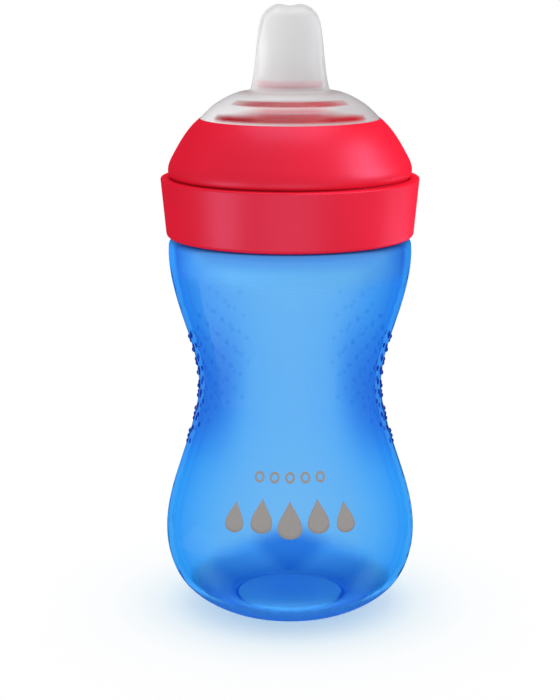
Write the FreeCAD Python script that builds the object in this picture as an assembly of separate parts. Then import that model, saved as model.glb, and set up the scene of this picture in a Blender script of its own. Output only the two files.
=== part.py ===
"""Toddler spout cup: a waisted bottle with a screw ring, a domed lid, a soft spout and a no-spill valve.

Frame: millimetres, +Z up, origin at the centre of the bottle's foot on the table.
-Y is the side that faces the child, where the spout shows its broad face. The grip areas are on -X and +X.
"""

import FreeCAD, Part

import math
import os

# ---------------------------------------------------------------- driving dimensions
FOOT_R = 19.4  # outer edge of the flat foot
FOOT_WIDTH = 2.6
PUSH_UP = 2.4  # how far the base is domed up inside the foot
BOTTLE_OUTSIDE = (  # (radius, height): belly at 23 mm, waist at 68 mm, shoulder at 107 mm
    (FOOT_R, 0.0),
    (22.3, 0.9),
    (26.2, 2.9),
    (30.1, 5.7),
    (33.1, 9.0),
    (35.3, 13.3),
    (37.1, 23.0),
    (34.6, 38.0),
    (31.35, 48.0),
    (28.4, 58.0),
    (27.0, 68.0),
    (28.45, 78.0),
    (31.55, 88.0),
    (34.3, 98.0),
    (35.15, 103.0),
    (35.35, 109.2),
)
WALL = 1.6

BASE_INSIDE = (FOOT_R - 3.0, WALL + 0.2)  # edge of the domed floor inside
BASE_STEP = 1.0  # sloping step between the flat foot and the domed base

SHELF_Z = 111.7  # top of the shoulder, just under the ring
SHELF_R = 32.8
SHELF_CORNER = 0.9  # rounding inside, under the shoulder's shelf
NECK_R = 31.4
NECK_WALL = 1.8
NECK_CORNER = 0.8  # rounding inside, where the shelf turns up into the neck
RIM_Z = 123.5
RIM_BEVEL = 0.5

RING_BOTTOM_Z, RING_TOP_Z = 112.0, 129.0
RING_BOTTOM_R, RING_TOP_R = 35.9, 37.5
RING_CORNER, RING_EDGE = 1.1, 0.45  # rounding of the ring's lower and upper edges
RING_BORE_R = 33.2
LIP_R = 34.4  # opening at the ring's top, which holds the lid's flange down
LIP_Z = 127.4
POCKET_R = 36.1  # room for the lid's flange under the lip
POCKET_FLOOR_DROP, POCKET_CONE = 0.2, 2.4  # the pocket's floor, and the cone below it, under the flange

THREAD_LEAD = 6.0
BOTTLE_THREAD_TURNS = 1.2
BOTTLE_THREAD_Z = 114.5
BOTTLE_THREAD_CREST_R = 32.9
RING_THREAD_TURNS = 1.0
RING_THREAD_LAG = 0.15  # turns from the start of the bottle's thread to the start of the ring's
RING_THREAD_CREST_R = 31.8
THREAD_DROP = 1.75  # the ring's ridge sits this far under the bottle's ridge
RIDGE_ROOT, RIDGE_CREST = 2.3, 1.15  # axial widths of a ridge
ROOT_BITE = 0.4  # how deep a ridge is rooted in its wall

FLANGE_Z = 125.0  # underside of the lid's flange
FLANGE_R = 36.0
FLANGE_TOP = 127.35
LID_WAIST_R = 34.2  # lid where it passes through the lip
LID_R, LID_R_Z = 35.25, 131.6  # widest circle of the domed lid
SKIRT_OUT_R, SKIRT_IN_R, SKIRT_Z = 29.3, 27.7, 120.5  # plug that centres the lid in the neck
SKIRT_LEAD_IN = 0.6  # chamfer that guides the plug into the neck
LID_WALL = 1.6
EASE = 0.4  # chamfer of the other hard edges

SEAM_R, SEAM_Z = 25.95, 145.9  # circle where the red dome meets the soft spout
DOME_FOOT = (LID_WAIST_R + 0.75, FLANGE_TOP + 2.15)  # where the dome starts, just above the ring's lip
DOME_OUTSIDE = (DOME_FOOT, (LID_R, LID_R_Z), (33.7, 135.6), (30.8, 140.5), (28.5, 143.5), (SEAM_R, SEAM_Z))
SEAT_Z = 145.2  # shelf that the soft spout's edge lies on
STEP_R, STEP_Z = 21.9, 148.8  # first step under the soft spout
STEP_RISE = 0.5  # how far the step's top climbs towards the collar
DOME_INNER_FOOT = (SKIRT_IN_R + 3.6, FLANGE_TOP + 0.4)
DOME_INNER_TOP = (STEP_R + 1.8, SEAT_Z - LID_WALL)
DOME_INSIDE = (DOME_INNER_FOOT, (33.55, 132.2), (32.2, 134.9), (29.4, 139.5), (26.7, 142.2), DOME_INNER_TOP)
COLLAR_R, COLLAR_IN_R = 17.2, 15.8  # collar round the spout's opening
COLLAR_EASE = 0.3
COLLAR_TOP, COLLAR_FOOT = 151.6, 145.0
FIT_GAP = 0.05  # gap between soft and hard parts that lie against each other
GASKET_OVERHANG, GASKET_EASE = 0.4, 0.2

SPOUT_OVALS = (  # (height, half width, half depth) up the spout, with a small flare at its foot
    (152.4, 12.3, 10.5),
    (153.4, 12.0, 10.2),
    (154.2, 11.4, 9.4),
    (155.4, 10.95, 8.6),
    (158.0, 10.5, 7.9),
    (162.0, 10.0, 7.0),
    (168.0, 9.4, 6.0),
    (172.5, 8.8, 5.2),
    (175.2, 7.9, 4.5),
    (176.8, 6.3, 3.4),
    (178.0, 3.9, 1.8),
)
SPOUT_TOP_Z = 178.0
SPOUT_WALL = 1.7
LEAST_HOLLOW = 0.5  # the hollow ends where its half depth would fall under this
CAP_EDGE_R = SEAM_R - 0.1
CAP_TOP_R, CAP_TOP_Z = 8.0, 154.2  # hidden inside the spout's foot
CAP_SKIN = ((CAP_EDGE_R, SEAM_Z), (22.1, 149.5), (17.2, 152.35), (13.3, 153.6), (CAP_TOP_R, CAP_TOP_Z))
HOLLOW_Z = 152.4  # where the round bore of the hub gives way to the spout's oval hollow
SADDLE_R, SADDLE_DEPTH = 7.5, 0.45  # shallow dip across the tip
SLOT_LENGTH, SLOT_WIDTH, SLOT_DEPTH = 5.0, 0.8, 4.0  # drinking slot through the tip
HUB_BORE_R = 13.5
HUB_CONE, HUB_CONE_R = 3.4, 8.4  # height of the bore's conical top, and its radius there
HUB_FOOT_Z = 142.0
BEAD_R = 16.9  # bead that snaps under the collar
BEAD_SLOPE = (1.6, 1.2)  # radius and height of the bead's lead-in

CAGE_R, CAGE_IN_R = 13.4, 12.1  # spigot of the valve seat, a push fit in the spout's hub
CAGE_LOW_R = 11.3  # narrower below the ledge that carries the valve cover
SEAT_FLOOR_Z, SEAT_FLOOR_THICK = 139.0, 1.4
SEAT_TOP_Z = 147.4
SEAT_RIM_R, SEAT_RIM_EASE = 16.4, 0.8  # stop that meets the hub's foot
HUB_CLEARANCE = 0.1
PORT_R, PORT_CIRCLE_R, PORT_COUNT = 1.7, 6.6, 6
POST_R, POST_TOP_Z, POST_EASE = 1.8, 146.2, 0.5
SPIGOT_EASE = 0.6
SNAP_BITE, SNAP_STEP = 0.3, 0.4  # bead that keeps the valve cover on its ledge
TAB_LENGTH, TAB_THICK, TAB_DROP, TAB_ROUND = 9.0, 1.8, 6.0, 0.7
DISC_R, DISC_THICK, DISC_EASE = 10.6, 1.1, 0.3
DISC_BORE_R = POST_R + 0.08  # a free slide on the post
DISC_LIFT = 0.8  # travel of the sip valve
SLEEVE_HEIGHT = 0.9  # guide sleeve on top of the disc
SLEEVE_TOP_WALL, SLEEVE_FOOT_WALL = 1.1, 1.3
COVER_THICK = 1.5
COVER_RIM_IN_R, COVER_HUB_R, COVER_BORE_R = 10.9, 3.6, POST_R + 0.1
SPOKE_COUNT, SPOKE_WIDTH = 4, 1.8
SPOKE_BITE = 0.6  # how deep a spoke runs into the cover's hub and rim

VENT_Y = 18.75  # air inlet, behind the spout
VENT_SEAT_Z = STEP_Z - 0.2  # floor of the recess for the air inlet's flange
VENT_FLANGE_R, VENT_BODY_R, VENT_BORE_R = 1.45, 0.95, 0.45
VENT_FLANGE_THICK = 0.7
VENT_POCKET_R, VENT_POCKET_TOP = VENT_FLANGE_R + 0.2, STEP_Z + 1.3  # room over the flange, inside the cap
BILL_TOP_Z, BILL_FOOT_Z = STEP_Z - 2.8, STEP_Z - 5.4
BILL_LIPS = (1.0, 0.25)  # half width and half thickness of the duckbill's lips
THROUGH = 1.0  # how far a cutting tool runs past the wall it cuts

DOT_COLUMNS = 11  # columns of grip dots on each side of the middle column
DOT_COLUMN_ANGLE = 5.45  # degrees round the bottle from column to column
DOT_PITCH = 6.9  # from dot to dot up a column
DOT_STAGGER = 4.6  # each column sits this much higher than its neighbour nearer the middle
DOT_FIRST_Z = 46.0
DOTS_LOW_Z, DOTS_LOW_RISE = 48.5, 0.34  # lower edge of the field at its middle, and its rise per degree
DOTS_HIGH_Z, DOTS_HIGH_RISE = 82.3, 0.26
DOT_BASE_R, DOT_HEIGHT = 0.85, 0.52
DOT_EDGE_BASE_R, DOT_EDGE_HEIGHT = 0.7, 0.36  # dots of the outermost columns
DOT_LIFT = 0.015  # keeps a dot's flat foot clear of the wall's curve

OUT = "parts"
Z_AXIS = FreeCAD.Vector(0, 0, 1)
ORIGIN = FreeCAD.Vector(0, 0, 0)


# ---------------------------------------------------------------- helpers
def vec(x, y, z):
    return FreeCAD.Vector(x, y, z)


def half(r, z):
    """A point of a half section, in the XZ plane."""
    return FreeCAD.Vector(r, 0, z)


def line(a, b):
    return Part.makeLine(half(*a), half(*b))


def chain(points):
    """Straight edges through a list of (r, z) points, left open."""
    return [line(a, b) for a, b in zip(points, points[1:])]


def arc(a, middle, b):
    return Part.Arc(half(*a), half(*middle), half(*b)).toShape()


def corner_arc(a, corner, b):
    """A rounded corner from a to b, which lie on the two legs of a square corner."""
    bend = 1 - math.sqrt(0.5)
    middle = [c + (p + q - 2 * c) * bend for p, c, q in zip(a, corner, b)]
    return arc(a, middle, b)


def dome_arc(r, z_edge, z_top):
    """An arc from (r, z_edge) up to the axis at z_top, square to the axis there."""
    rise = z_top - z_edge
    radius = (r**2 + rise**2) / (2 * rise)
    middle = z_top - radius + math.sqrt(radius**2 - r**2 / 4)
    return arc((r, z_edge), (r / 2, middle), (0, z_top))


def spline(points):
    """A smooth curve through (r, z) points."""
    curve = Part.BSplineCurve()
    curve.interpolate([half(*p) for p in points])
    return curve.toShape()


def turned(edges):
    """The solid of revolution of a closed half section about the cup's axis."""
    wire = Part.Wire(Part.__sortEdges__(edges))
    solid = Part.Face(wire).revolve(ORIGIN, Z_AXIS, 360)
    if solid.Volume < 0:
        solid.reverse()
    return Part.Solid(solid) if solid.ShapeType != "Solid" else solid


def turned_polygon(points):
    return turned(chain(points + points[:1]))


def tube(r_in, r_out, z_low, z_high):
    return turned_polygon([(r_in, z_low), (r_out, z_low), (r_out, z_high), (r_in, z_high)])


def rod(radius, z_low, z_high, x=0.0, y=0.0):
    return Part.makeCylinder(radius, z_high - z_low, vec(x, y, z_low), Z_AXIS)


def ellipse_wire(a, b, z):
    """A horizontal ellipse with half widths a along X and b along Y."""
    if a >= b:
        shape = Part.Ellipse(ORIGIN, a, b).toShape()
    else:
        shape = Part.Ellipse(ORIGIN, b, a).toShape()
        shape.rotate(ORIGIN, Z_AXIS, 90)
    shape.translate(vec(0, 0, z))
    return Part.Wire([shape])


def save(name, shape):
    solids = shape.Solids
    shape = solids[0] if len(solids) == 1 else Part.makeCompound(solids)
    if not shape.isValid():
        print("not valid:", name)
    shape.exportStep(os.path.join(OUT, name + ".step"))
    print(f"{name}: {len(solids)} solid(s), {shape.Volume / 1000:.2f} cm3")


# ---------------------------------------------------------------- bottle
def body_curve():
    """The bottle's outside from its foot to the start of its rounded shoulder."""
    return spline(BOTTLE_OUTSIDE)


def shoulder_arc():
    """The rounded shoulder, from the end of the body's curve in to the shelf under the ring."""
    r, z = BOTTLE_OUTSIDE[-1]
    return corner_arc((r, z), (r, SHELF_Z), (SHELF_R, SHELF_Z))


def inset(edge, distance, count):
    """Points at an even spacing along an edge, moved towards the inside of the bottle."""
    points = []
    first, last = edge.ParameterRange
    for k in range(count + 1):
        u = first + (last - first) * k / count
        place = edge.valueAt(u)
        along = edge.tangentAt(u)
        points.append((place.x - along.z * distance, place.z + along.x * distance))
    return points


def ridge(radius, crest_radius, start_z, turns, start_turns):
    """A one-start trapezoid thread ridge that climbs counter-clockwise seen from above."""
    helix = Part.makeHelix(THREAD_LEAD, THREAD_LEAD * turns, radius)
    inward = 1 if crest_radius > radius else -1
    root = radius - inward * ROOT_BITE
    flank = (RIDGE_ROOT - RIDGE_CREST) / 2 / abs(crest_radius - radius)
    bite_width = RIDGE_ROOT / 2 + ROOT_BITE * flank
    corners = [
        (root, -bite_width),
        (crest_radius, -RIDGE_CREST / 2),
        (crest_radius, RIDGE_CREST / 2),
        (root, bite_width),
    ]
    profile = Part.Wire(chain(corners + corners[:1]))
    solid = Part.Wire(helix.Edges).makePipeShell([profile], True, True)
    solid.rotate(ORIGIN, Z_AXIS, 360 * start_turns)
    solid.translate(vec(0, 0, start_z))
    return solid


def inside_edges():
    """The bottle's inside from the middle of its floor to its neck."""
    inner = [(r, z) for r, z in inset(body_curve(), WALL, 30) if r > FOOT_R]
    top_r, top_z = inner[-1]
    neck = NECK_R - NECK_WALL
    ceiling = SHELF_Z - WALL
    shelf_start = (top_r - SHELF_CORNER, ceiling)
    shelf_end = (neck + NECK_CORNER, ceiling)
    neck_foot = (neck, ceiling + NECK_CORNER)
    return [
        spline([BASE_INSIDE] + inner),
        corner_arc((top_r, top_z), (top_r, ceiling), shelf_start),
        line(shelf_start, shelf_end),
        corner_arc(shelf_end, (neck, ceiling), neck_foot),
        line(neck_foot, (neck, RIM_Z - RIM_BEVEL)),
        dome_arc(*BASE_INSIDE, WALL + PUSH_UP),
    ]


def bottle_solid():
    neck = NECK_R - NECK_WALL
    foot_in = FOOT_R - FOOT_WIDTH
    dome_edge = (foot_in - BASE_STEP, PUSH_UP * 0.45)
    edges = [body_curve(), shoulder_arc()] + inside_edges()
    edges += chain(
        [
            (SHELF_R, SHELF_Z),
            (NECK_R, SHELF_Z),
            (NECK_R, RIM_Z - RIM_BEVEL),
            (NECK_R - RIM_BEVEL, RIM_Z),
            (neck + RIM_BEVEL, RIM_Z),
            (neck, RIM_Z - RIM_BEVEL),
        ]
    )
    edges.append(line((0, WALL + PUSH_UP), (0, PUSH_UP)))
    edges.append(dome_arc(*dome_edge, PUSH_UP))
    edges += chain([dome_edge, (foot_in, 0), (FOOT_R, 0)])
    thread = ridge(NECK_R, BOTTLE_THREAD_CREST_R, BOTTLE_THREAD_Z, BOTTLE_THREAD_TURNS, 0)
    return turned(edges).fuse(thread)


def capacity_ml():
    """Volume of the inside up to the rim's bevel, for the size check."""
    neck = NECK_R - NECK_WALL
    top = RIM_Z - RIM_BEVEL
    return turned(inside_edges() + chain([(neck, top), (0, top), (0, WALL + PUSH_UP)])).Volume / 1000


# ---------------------------------------------------------------- grip dots
def wall_radius(z, outside):
    """Outside radius of the bottle at a height, found by halving the curve's parameter range."""
    low, high = outside.ParameterRange
    for _ in range(30):
        middle = (low + high) / 2
        if outside.valueAt(middle).z < z:
            low = middle
        else:
            high = middle
    return outside.valueAt(low).x


def dot(z, angle, base, height, outside):
    """The cap of a ball, standing square on the bottle's wall."""
    ball = (base**2 + height**2) / (2 * height)
    depth = ball - height
    step = 0.5
    wall = wall_radius(z, outside)
    slope = (wall_radius(z + step, outside) - wall_radius(z - step, outside)) / (2 * step)
    t = math.radians(angle)
    outward = vec(math.cos(t), math.sin(t), -slope).normalize()
    foot = vec(wall * math.cos(t), wall * math.sin(t), z) + outward * DOT_LIFT
    latitude = math.degrees(math.asin(depth / ball))
    return Part.makeSphere(ball, foot - outward * depth, outward, latitude, 90, 360)


def grip_dots(outside):
    """The right-hand grip area: staggered columns of dots that climb and shrink towards front and back."""
    caps = []
    for column in range(-DOT_COLUMNS, DOT_COLUMNS + 1):
        steps = abs(column)
        angle = steps * DOT_COLUMN_ANGLE
        low = DOTS_LOW_Z + DOTS_LOW_RISE * angle
        high = DOTS_HIGH_Z + DOTS_HIGH_RISE * angle
        share = steps / DOT_COLUMNS
        base = DOT_BASE_R + (DOT_EDGE_BASE_R - DOT_BASE_R) * share
        height = DOT_HEIGHT + (DOT_EDGE_HEIGHT - DOT_HEIGHT) * share
        z = DOT_FIRST_Z + (steps * DOT_STAGGER) % DOT_PITCH
        while z <= high:
            if z >= low:
                caps.append(dot(z, column * DOT_COLUMN_ANGLE, base, height, outside))
            z += DOT_PITCH
    return Part.makeCompound(caps)


# ---------------------------------------------------------------- screw ring
def screw_ring():
    """Tapered band with a lip over the lid's flange and a thread inside its skirt."""
    slope = (RING_TOP_R - RING_BOTTOM_R) / (RING_TOP_Z - RING_BOTTOM_Z)
    low_r = RING_BOTTOM_R + slope * RING_CORNER
    top_r = RING_TOP_R - slope * RING_EDGE
    foot = (RING_BOTTOM_R - RING_CORNER, RING_BOTTOM_Z)
    side_low = (low_r, RING_BOTTOM_Z + RING_CORNER)
    side_high = (top_r, RING_TOP_Z - RING_EDGE)
    crown = (RING_TOP_R - RING_EDGE, RING_TOP_Z)
    edges = [
        corner_arc(foot, (low_r, RING_BOTTOM_Z), side_low),
        line(side_low, side_high),
        corner_arc(side_high, (RING_TOP_R, RING_TOP_Z), crown),
    ]
    edges += chain(
        [
            crown,
            (LIP_R + EASE, RING_TOP_Z),
            (LIP_R, RING_TOP_Z - EASE),
            (LIP_R, LIP_Z),
            (POCKET_R, LIP_Z),
            (POCKET_R, FLANGE_Z - POCKET_FLOOR_DROP),
            (RING_BORE_R, FLANGE_Z - POCKET_CONE),
            (RING_BORE_R, RING_BOTTOM_Z + EASE),
            (RING_BORE_R + EASE, RING_BOTTOM_Z),
            foot,
        ]
    )
    start = RING_THREAD_LAG
    z = BOTTLE_THREAD_Z + THREAD_LEAD * start - THREAD_DROP
    thread = ridge(RING_BORE_R, RING_THREAD_CREST_R, z, RING_THREAD_TURNS, start)
    return turned(edges).fuse(thread).removeSplitter()


# ---------------------------------------------------------------- domed lid
def spout_lid():
    """Flange, plug, dome, shelf, step and collar in one moulding, with the air inlet behind the spout."""
    edges = [spline(DOME_OUTSIDE), spline(DOME_INSIDE)]
    edges += chain(  # shelf, step and collar on top, and the same steps underneath
        [
            (SEAM_R, SEAM_Z),
            (SEAM_R, SEAT_Z),
            (STEP_R, SEAT_Z),
            (STEP_R, STEP_Z - EASE),
            (STEP_R - EASE, STEP_Z),
            (COLLAR_R, STEP_Z + STEP_RISE),
            (COLLAR_R, COLLAR_TOP - COLLAR_EASE),
            (COLLAR_R - COLLAR_EASE, COLLAR_TOP),
            (COLLAR_IN_R + COLLAR_EASE, COLLAR_TOP),
            (COLLAR_IN_R, COLLAR_TOP - COLLAR_EASE),
            (COLLAR_IN_R, COLLAR_FOOT),
            (COLLAR_R, COLLAR_FOOT),
            (COLLAR_R, STEP_Z - LID_WALL),
            (STEP_R - LID_WALL, STEP_Z - LID_WALL),
            (STEP_R - LID_WALL, SEAT_Z - LID_WALL),
            DOME_INNER_TOP,
        ]
    )
    edges += chain(  # plug and flange, up to the dome's foot
        [
            DOME_INNER_FOOT,
            (SKIRT_IN_R, FLANGE_Z + EASE),
            (SKIRT_IN_R, SKIRT_Z + EASE),
            (SKIRT_IN_R + EASE, SKIRT_Z),
            (SKIRT_OUT_R - SKIRT_LEAD_IN, SKIRT_Z),
            (SKIRT_OUT_R, SKIRT_Z + SKIRT_LEAD_IN),
            (SKIRT_OUT_R, FLANGE_Z),
            (FLANGE_R, FLANGE_Z),
            (FLANGE_R, FLANGE_TOP),
            (LID_WAIST_R, FLANGE_TOP),
            (LID_WAIST_R, DOME_FOOT[1] - COLLAR_EASE),
            DOME_FOOT,
        ]
    )
    above = STEP_Z + STEP_RISE + THROUGH
    inlet = rod(VENT_BODY_R + FIT_GAP, STEP_Z - LID_WALL - THROUGH, above, y=VENT_Y)
    counterbore = rod(VENT_FLANGE_R + FIT_GAP, VENT_SEAT_Z, above, y=VENT_Y)
    return turned(edges).cut(inlet).cut(counterbore.cut(rod(COLLAR_R, STEP_Z - THROUGH, above)))


def lid_gasket():
    """Soft washer with a bead, pinched between the lid's flange and the bottle's rim."""
    low, high = RIM_Z + FIT_GAP, FLANGE_Z - FIT_GAP
    inner = SKIRT_OUT_R + FIT_GAP
    outer = NECK_R + GASKET_OVERHANG
    ease = GASKET_EASE
    return turned_polygon(
        [
            (inner, low + ease),
            (inner + ease, low),
            (outer - ease, low),
            (outer, low + ease),
            (outer, high - ease),
            (outer - ease, high),
            (inner + ease, high),
            (inner, high - ease),
        ]
    )


# ---------------------------------------------------------------- soft spout
def oval_tower(shrink, low):
    """The spout above a height as a loft of ovals, or its hollow when the wall's thickness is taken off."""
    sections = []
    for z, a, b in SPOUT_OVALS:
        if z >= low and b > shrink + LEAST_HOLLOW:
            lowered = z - shrink * (z - low) / (SPOUT_TOP_Z - low)
            sections.append(ellipse_wire(a - shrink, b - shrink, lowered))
    return Part.makeLoft(sections, True, False)


def soft_spout():
    """Silicone cap over the lid's steps, with a hub that snaps into the collar and a hollow oval spout."""
    shelf = SEAT_Z + FIT_GAP
    step_r = STEP_R + FIT_GAP
    collar_r = COLLAR_R + FIT_GAP
    neck_r = COLLAR_IN_R - FIT_GAP
    bead_top = COLLAR_FOOT - FIT_GAP
    edges = [spline(CAP_SKIN)]
    edges += chain(
        [
            (CAP_TOP_R, CAP_TOP_Z),
            (0, CAP_TOP_Z),
            (0, HUB_FOOT_Z),
            (BEAD_R - BEAD_SLOPE[0], HUB_FOOT_Z),
            (BEAD_R, HUB_FOOT_Z + BEAD_SLOPE[1]),
            (BEAD_R, bead_top),
            (neck_r, bead_top),
            (neck_r, COLLAR_TOP + FIT_GAP),
            (collar_r, COLLAR_TOP + FIT_GAP),
            (collar_r, STEP_Z + STEP_RISE + FIT_GAP),
            (step_r, STEP_Z + FIT_GAP),
            (step_r, shelf),
            (CAP_EDGE_R, shelf),
            (CAP_EDGE_R, SEAM_Z),
        ]
    )
    bore_top = HOLLOW_Z + 0.2
    bore = turned_polygon(
        [
            (0, HUB_FOOT_Z - THROUGH),
            (HUB_BORE_R, HUB_FOOT_Z - THROUGH),
            (HUB_BORE_R, bore_top - HUB_CONE),
            (HUB_CONE_R, bore_top),
            (0, bore_top),
        ]
    )
    reach = SPOUT_OVALS[0][2]
    saddle = Part.makeCylinder(
        SADDLE_R, 2 * reach, vec(0, -reach, SPOUT_TOP_Z - SADDLE_DEPTH + SADDLE_R), vec(0, 1, 0)
    )
    slot_corner = vec(-SLOT_LENGTH / 2, -SLOT_WIDTH / 2, SPOUT_TOP_Z - SLOT_DEPTH)
    slot = Part.makeBox(SLOT_LENGTH, SLOT_WIDTH, SLOT_DEPTH + THROUGH, slot_corner)
    vent_pocket = rod(VENT_POCKET_R, STEP_Z - THROUGH, VENT_POCKET_TOP, y=VENT_Y)
    pinhole = rod(VENT_BORE_R, STEP_Z, CAP_TOP_Z, y=VENT_Y)
    body = turned(edges).fuse(oval_tower(0.0, 0.0))
    for hollow in (bore, oval_tower(SPOUT_WALL, HOLLOW_Z), saddle, slot, vent_pocket, pinhole):
        body = body.cut(hollow)
    return body


# ---------------------------------------------------------------- valve parts
def cover_z():
    """Underside of the valve cover: the disc's sleeve meets it at the end of its lift."""
    disc_top = SEAT_FLOOR_Z + SEAT_FLOOR_THICK + FIT_GAP + DISC_THICK + SLEEVE_HEIGHT
    return disc_top + DISC_LIFT + FIT_GAP


def pull_tab():
    """Tab under the valve seat that it is pulled out by."""
    corner = vec(-TAB_LENGTH / 2, -TAB_THICK / 2, SEAT_FLOOR_Z - TAB_DROP)
    tab = Part.makeBox(TAB_LENGTH, TAB_THICK, TAB_DROP, corner)
    upright = [e for e in tab.Edges if abs(e.tangentAt(0).z) > 0.9]
    return tab.makeFillet(TAB_ROUND, upright)


def valve_seat():
    """Rigid cup pushed into the spout's hub: floor with ports, guide post, ledge for the valve cover."""
    floor_top = SEAT_FLOOR_Z + SEAT_FLOOR_THICK
    rim_top = HUB_FOOT_Z - HUB_CLEARANCE
    ledge = cover_z() - FIT_GAP
    bead = cover_z() + COVER_THICK + 2 * FIT_GAP
    body = turned_polygon(
        [
            (0, SEAT_FLOOR_Z),
            (SEAT_RIM_R - SEAT_RIM_EASE, SEAT_FLOOR_Z),
            (SEAT_RIM_R, SEAT_FLOOR_Z + SEAT_RIM_EASE),
            (SEAT_RIM_R, rim_top),
            (CAGE_R, rim_top),
            (CAGE_R, SEAT_TOP_Z - SPIGOT_EASE),
            (CAGE_R - SPIGOT_EASE, SEAT_TOP_Z),
            (CAGE_IN_R, SEAT_TOP_Z),
            (CAGE_IN_R, bead + 2 * SNAP_STEP),
            (CAGE_IN_R - SNAP_BITE, bead + SNAP_STEP),
            (CAGE_IN_R, bead),
            (CAGE_IN_R, ledge),
            (CAGE_LOW_R, ledge),
            (CAGE_LOW_R, floor_top),
            (POST_R, floor_top),
            (POST_R, POST_TOP_Z - POST_EASE),
            (POST_R - POST_EASE, POST_TOP_Z),
            (0, POST_TOP_Z),
        ]
    )
    for k in range(PORT_COUNT):
        t = 2 * math.pi * k / PORT_COUNT
        x, y = PORT_CIRCLE_R * math.cos(t), PORT_CIRCLE_R * math.sin(t)
        body = body.cut(rod(PORT_R, SEAT_FLOOR_Z - THROUGH, floor_top + THROUGH, x, y))
    return body.fuse(pull_tab()).removeSplitter()


def sip_valve():
    """Silicone disc that seals the ports and lifts when the child sips."""
    low = SEAT_FLOOR_Z + SEAT_FLOOR_THICK + FIT_GAP
    high = low + DISC_THICK
    return turned_polygon(
        [
            (DISC_BORE_R, low),
            (DISC_R - DISC_EASE, low),
            (DISC_R, low + DISC_EASE),
            (DISC_R, high - DISC_EASE),
            (DISC_R - DISC_EASE, high),
            (DISC_BORE_R + SLEEVE_FOOT_WALL, high),
            (DISC_BORE_R + SLEEVE_TOP_WALL, high + SLEEVE_HEIGHT),
            (DISC_BORE_R, high + SLEEVE_HEIGHT),
        ]
    )


def valve_cover():
    """Spoked cap that stops the disc's lift."""
    low = cover_z()
    high = low + COVER_THICK
    rim = tube(COVER_RIM_IN_R, CAGE_IN_R - FIT_GAP, low, high)
    hub = tube(COVER_BORE_R, COVER_HUB_R, low, high)
    start = COVER_HUB_R - SPOKE_BITE
    length = COVER_RIM_IN_R + SPOKE_BITE - start
    spokes = []
    for k in range(SPOKE_COUNT):
        bar = Part.makeBox(length, SPOKE_WIDTH, COVER_THICK, vec(start, -SPOKE_WIDTH / 2, low))
        bar.rotate(ORIGIN, Z_AXIS, 360 * (k + 0.5) / SPOKE_COUNT)
        spokes.append(bar)
    return rim.fuse([hub] + spokes).removeSplitter()


def vent_valve():
    """Duckbill that lets air in behind the spout and closes against drink."""
    seat = VENT_SEAT_Z + FIT_GAP
    flange_top = seat + VENT_FLANGE_THICK
    flange = rod(VENT_FLANGE_R, seat, flange_top, y=VENT_Y)
    neck = rod(VENT_BODY_R, BILL_TOP_Z, seat, y=VENT_Y)
    circle = Part.Wire([Part.makeCircle(VENT_BODY_R, vec(0, VENT_Y, BILL_TOP_Z), Z_AXIS)])
    lips = ellipse_wire(*BILL_LIPS, BILL_FOOT_Z)
    lips.translate(vec(0, VENT_Y, 0))
    bill = Part.makeLoft([circle, lips], True, True)
    passage = rod(VENT_BORE_R, BILL_TOP_Z - 0.5, flange_top + THROUGH, y=VENT_Y)
    return flange.fuse([neck, bill]).removeSplitter().cut(passage)


# ---------------------------------------------------------------- build
def main():
    os.makedirs(OUT, exist_ok=True)
    print(f"brim capacity {capacity_ml():.0f} ml")
    save("bottle", bottle_solid())
    dots = grip_dots(body_curve())
    save("grip_dots_right", dots)
    dots.rotate(ORIGIN, Z_AXIS, 180)
    save("grip_dots_left", dots)
    save("screw_ring", screw_ring())
    save("spout_lid", spout_lid())
    save("lid_gasket", lid_gasket())
    save("soft_spout", soft_spout())
    save("valve_seat", valve_seat())
    save("sip_valve", sip_valve())
    save("valve_cover", valve_cover())
    save("vent_valve", vent_valve())


main()
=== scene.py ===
"""Looks for the spout cup: materials, finely meshed soft parts, printed motif, light and camera.

The frame is the CAD row's: +Z up, origin at the centre of the cup's foot, -Y towards the camera. Lengths
are in metres, apart from those under a heading that says millimetres.
"""

import math

import bmesh
import bpy
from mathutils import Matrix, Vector
from mathutils.bvhtree import BVHTree


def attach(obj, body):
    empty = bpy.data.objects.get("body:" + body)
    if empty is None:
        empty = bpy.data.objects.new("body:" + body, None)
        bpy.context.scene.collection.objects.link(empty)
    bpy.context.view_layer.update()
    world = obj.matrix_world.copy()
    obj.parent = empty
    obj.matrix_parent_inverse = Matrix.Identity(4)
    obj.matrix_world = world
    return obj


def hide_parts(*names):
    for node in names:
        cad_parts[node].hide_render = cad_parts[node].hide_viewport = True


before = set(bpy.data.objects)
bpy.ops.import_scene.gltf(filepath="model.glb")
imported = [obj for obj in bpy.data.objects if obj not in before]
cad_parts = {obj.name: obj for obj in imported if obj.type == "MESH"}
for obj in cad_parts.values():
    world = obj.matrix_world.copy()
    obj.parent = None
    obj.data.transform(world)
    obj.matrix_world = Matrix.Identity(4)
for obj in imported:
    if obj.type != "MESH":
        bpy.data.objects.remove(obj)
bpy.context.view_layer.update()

MM = 0.001
LEVEL = (1.0, 1.0, 0.0)  # times a direction, leaves its level part

# ---------------------------------------------------------------- camera, from the photograph's perspective
CAMERA_BACK = 0.517
CAMERA_HEIGHT = 0.1932
CAMERA_PITCH = 12.62  # degrees down from level
CAMERA_LENS = 92.05  # millimetres, on the sensor below
SENSOR_WIDTH = 36.0
CAMERA_SHIFT = -1 / 70  # sideways, as a share of the frame's longer side

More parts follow.
